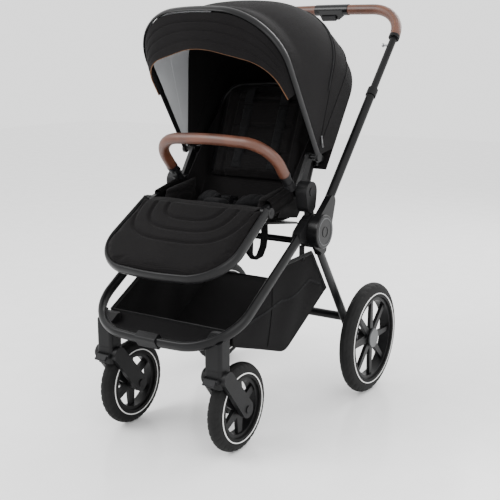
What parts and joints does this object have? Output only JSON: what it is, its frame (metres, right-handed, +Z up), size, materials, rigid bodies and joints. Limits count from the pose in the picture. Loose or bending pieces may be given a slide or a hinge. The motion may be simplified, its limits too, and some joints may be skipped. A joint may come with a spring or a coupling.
{
  "type": "baby stroller",
  "caption": "Folding four-wheel baby stroller with a reclining seat, folding canopy, telescopic handle and shopping basket.",
  "frame": {"origin": "on the floor under the middle of the stroller's length and width", "axes": "+X across the stroller, to the right of someone who faces its front; -Y towards its front wheels; +Z up"},
  "size_m": [0.5064, 0.8563, 1.0052],
  "materials": {
    "frame_tube": "satin black powder coat",
    "bow_tube": "satin black anodised tube",
    "seat_rails": "satin black",
    "steel": "brushed",
    "black_plastic": "fine matte grain",
    "gloss_black": "semi gloss",
    "hub_disc": "satin disc with a ring",
    "hub_cap": "silver grey satin",
    "rim_plastic": "satin moulded",
    "tyre": "matte foam rubber with a pale side ring",
    "bow_plastic": "dark grey gloss",
    "board_plastic": "plain",
    "pedal_plastic": "plain grip face",
    "buckle_plastic": "gloss",
    "grip_leather": "stitched tan imitation leather",
    "bumper_leather": "stitched brown imitation leather",
    "seat_cloth": "quilted black weave",
    "strap_cloth": "soft knit",
    "canopy_cloth": "black melange weave",
    "basket_cloth": "black weave with bound edges"
  },
  "bodies": {
    "chassis": {"front_frame": "frame_tube", "frame_clip": "black_plastic", "caster_housings": "black_plastic", "hub_housings": "black_plastic", "hub_pins": "steel", "hub_covers": "hub_disc", "cross_tube": "frame_tube", "basket": "basket_cloth", "seat_adapters": "black_plastic", "seat_frame": "seat_rails", "seat_pad": "seat_cloth", "harness_buckle": "buckle_plastic", "bumper_mounts": "black_plastic"},
    "rear_legs": {"rear_legs": "frame_tube", "rear_axles": "steel", "rear_bar": "frame_tube"},
    "brake_pedal": {"brake_pedal": "pedal_plastic"},
    "rear_wheel_right": {"rear_tyre_right": "tyre", "rear_rim_right": "rim_plastic", "rear_hub_cap_right": "hub_cap"},
    "rear_wheel_left": {"rear_tyre_left": "tyre", "rear_rim_left": "rim_plastic", "rear_hub_cap_left": "hub_cap"},
    "caster_right": {"caster_fork_right": "black_plastic", "front_axle_right": "black_plastic"},
    "caster_left": {"caster_fork_left": "black_plastic", "front_axle_left": "black_plastic"},
    "swivel_lock_right": {"swivel_lock_right": "pedal_plastic"},
    "swivel_lock_left": {"swivel_lock_left": "pedal_plastic"},
    "front_wheel_right": {"front_tyre_right": "tyre", "front_rim_right": "rim_plastic"},
    "front_wheel_left": {"front_tyre_left": "tyre", "front_rim_left": "rim_plastic"},
    "handle_lower": {"handle_arms": "frame_tube", "handle_collars": "black_plastic"},
    "handle_upper": {"handle_bow": "bow_tube", "handle_grips": "grip_leather", "handle_ferrules": "black_plastic", "handle_studs": "steel", "handle_housing": "gloss_black"},
    "handle_button": {"handle_button": "pedal_plastic"},
    "seat_release_right": {"seat_release_right": "pedal_plastic"},
    "seat_release_left": {"seat_release_left": "pedal_plastic"},
    "buckle_button": {"buckle_button": "pedal_plastic"},
    "backrest": {"backrest_frame": "seat_rails", "backrest_board": "board_plastic", "backrest_pad": "seat_cloth", "shoulder_straps": "strap_cloth", "canopy_rear_panel": "canopy_cloth"},
    "recline_lever": {"recline_lever": "pedal_plastic"},
    "canopy_mid": {"canopy_mid_bow": "board_plastic", "canopy_mid_panel": "canopy_cloth"},
    "canopy_front": {"canopy_front_bow": "bow_plastic", "canopy_visor": "canopy_cloth", "canopy_front_panel": "canopy_cloth"},
    "legrest": {"legrest_bow": "bow_plastic", "legrest_cover": "seat_cloth"},
    "bumper": {"bumper_bar": "black_plastic", "bumper_cover": "bumper_leather"},
    "bumper_button": {"bumper_button": "pedal_plastic"}
  },
  "joints": [
    {"name": "handle_fold", "type": "hinge", "parent": "chassis", "child": "handle_lower", "pos_m": [0, -0.04584, 0.468], "axis": [1, 0, 0], "range_deg": [0, 154]},
    {"name": "rear_leg_fold", "type": "hinge", "parent": "chassis", "child": "rear_legs", "pos_m": [0, -0.04584, 0.468], "axis": [1, 0, 0], "range_deg": [-55, 0]},
    {"name": "handle_extension", "type": "slide", "parent": "handle_lower", "child": "handle_upper", "axis": [0, 0.6709, 0.7415], "range_m": [-0.12, 0]},
    {"name": "handle_button", "type": "slide", "parent": "handle_upper", "child": "handle_button", "axis": [0, 0.6709, 0.7415], "range_m": [0, 0.004], "stiffness_N_per_m": 600},
    {"name": "caster_swivel_right", "type": "hinge", "parent": "chassis", "child": "caster_right", "pos_m": [0.153, -0.36884, 0.213], "axis": [0, 0, 1], "continuous": true},
    {"name": "caster_swivel_left", "type": "hinge", "parent": "chassis", "child": "caster_left", "pos_m": [-0.153, -0.36884, 0.213], "axis": [0, 0, 1], "continuous": true},
    {"name": "front_wheel_spin_right", "type": "hinge", "parent": "caster_right", "child": "front_wheel_right", "pos_m": [0.153, -0.29584, 0.102], "axis": [1, 0, 0], "continuous": true},
    {"name": "front_wheel_spin_left", "type": "hinge", "parent": "caster_left", "child": "front_wheel_left", "pos_m": [-0.153, -0.29584, 0.102], "axis": [1, 0, 0], "continuous": true},
    {"name": "swivel_lock_right", "type": "hinge", "parent": "caster_right", "child": "swivel_lock_right", "pos_m": [0.153, -0.39384, 0.193], "axis": [1, 0, 0], "range_deg": [-20, 0]},
    {"name": "swivel_lock_left", "type": "hinge", "parent": "caster_left", "child": "swivel_lock_left", "pos_m": [-0.153, -0.39384, 0.193], "axis": [1, 0, 0], "range_deg": [-20, 0]},
    {"name": "rear_wheel_spin_right", "type": "hinge", "parent": "rear_legs", "child": "rear_wheel_right", "pos_m": [0.2345, 0.20416, 0.145], "axis": [1, 0, 0], "continuous": true},
    {"name": "rear_wheel_spin_left", "type": "hinge", "parent": "rear_legs", "child": "rear_wheel_left", "pos_m": [-0.2345, 0.20416, 0.145], "axis": [1, 0, 0], "continuous": true},
    {"name": "brake_rock", "type": "hinge", "parent": "rear_legs", "child": "brake_pedal", "pos_m": [0, 0.15623, 0.20497], "axis": [1, 0, 0], "range_deg": [-18, 0]},
    {"name": "backrest_recline", "type": "hinge", "parent": "chassis", "child": "backrest", "pos_m": [0, -0.05584, 0.56], "axis": [1, 0, 0], "range_deg": [-42, 0]},
    {"name": "recline_lever", "type": "slide", "parent": "backrest", "child": "recline_lever", "axis": [0, 0.3907, 0.9205], "range_m": [0, 0.008], "stiffness_N_per_m": 400},
    {"name": "canopy_mid_fold", "type": "hinge", "parent": "backrest", "child": "canopy_mid", "pos_m": [0, -0.00984, 0.636], "axis": [1, 0, 0], "range_deg": [-32, 0]},
    {"name": "canopy_front_fold", "type": "hinge", "parent": "canopy_mid", "child": "canopy_front", "pos_m": [0, -0.00984, 0.636], "axis": [1, 0, 0], "range_deg": [-32, 0]},
    {"name": "legrest_tilt", "type": "hinge", "parent": "chassis", "child": "legrest", "pos_m": [0, -0.19084, 0.528], "axis": [1, 0, 0], "range_deg": [-12, 12]},
    {"name": "bumper_swing", "type": "hinge", "parent": "chassis", "child": "bumper", "pos_m": [-0.162, -0.09921, 0.58973], "axis": [0, -0.7547, -0.6561], "range_deg": [0, 90]},
    {"name": "bumper_button", "type": "slide", "parent": "chassis", "child": "bumper_button", "axis": [0, 0.7547, 0.6561], "range_m": [0, 0.002], "stiffness_N_per_m": 500},
    {"name": "seat_release_right", "type": "slide", "parent": "chassis", "child": "seat_release_right", "axis": [-1, 0, 0], "range_m": [0, 0.003], "stiffness_N_per_m": 600},
    {"name": "seat_release_left", "type": "slide", "parent": "chassis", "child": "seat_release_left", "axis": [1, 0, 0], "range_m": [0, 0.003], "stiffness_N_per_m": 600},
    {"name": "buckle_button", "type": "slide", "parent": "chassis", "child": "buckle_button", "axis": [0, 0, -1], "range_m": [0, 0.003], "stiffness_N_per_m": 600}
  ],
  "couplings": [
    {"joint": "rear_leg_fold", "follows": "handle_fold", "ratio": -0.35714},
    {"joint": "canopy_front_fold", "follows": "canopy_mid_fold", "ratio": 1}
  ]
}
